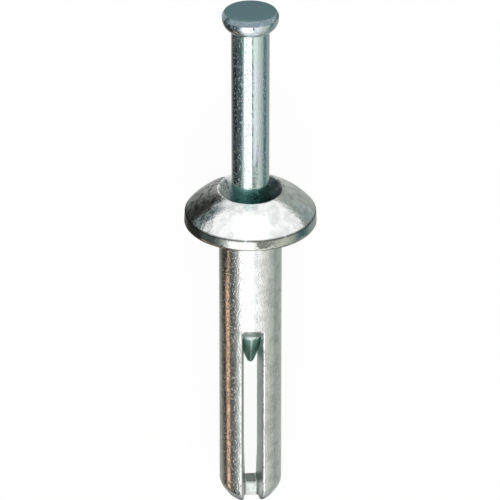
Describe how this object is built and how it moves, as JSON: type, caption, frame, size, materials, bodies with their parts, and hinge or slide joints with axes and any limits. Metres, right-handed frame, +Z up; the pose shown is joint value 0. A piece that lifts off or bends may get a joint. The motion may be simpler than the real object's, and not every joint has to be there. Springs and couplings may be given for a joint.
{
  "type": "hammer drive anchor",
  "caption": "Masonry anchor with a mushroom head, a split expansion shank and a drive pin that stands ready to be hammered in.",
  "frame": {"origin": "centre of the bounding box on the surface that the anchor lies on", "axes": "+Z up; the anchor lies along Y with its pin head towards +Y, the axis raised by 6.95 degrees because the head is wider than the tip; the slot runs through it from top to bottom"},
  "size_m": [0.013, 0.0542, 0.013],
  "materials": {
    "cast_zinc": "zinc alloy as die-cast, bright and slightly rough",
    "plated_steel": "steel with bright zinc plate, blue-green passivated"
  },
  "bodies": {
    "body": {"anchor_body": "cast_zinc"},
    "pin": {"drive_pin": "plated_steel"}
  },
  "joints": [
    {"name": "pin_drive", "type": "slide", "parent": "body", "child": "pin", "axis": [0, -0.9927, -0.1209], "range_m": [0, 0.0185], "deforming": ["anchor_body"]}
  ]
}
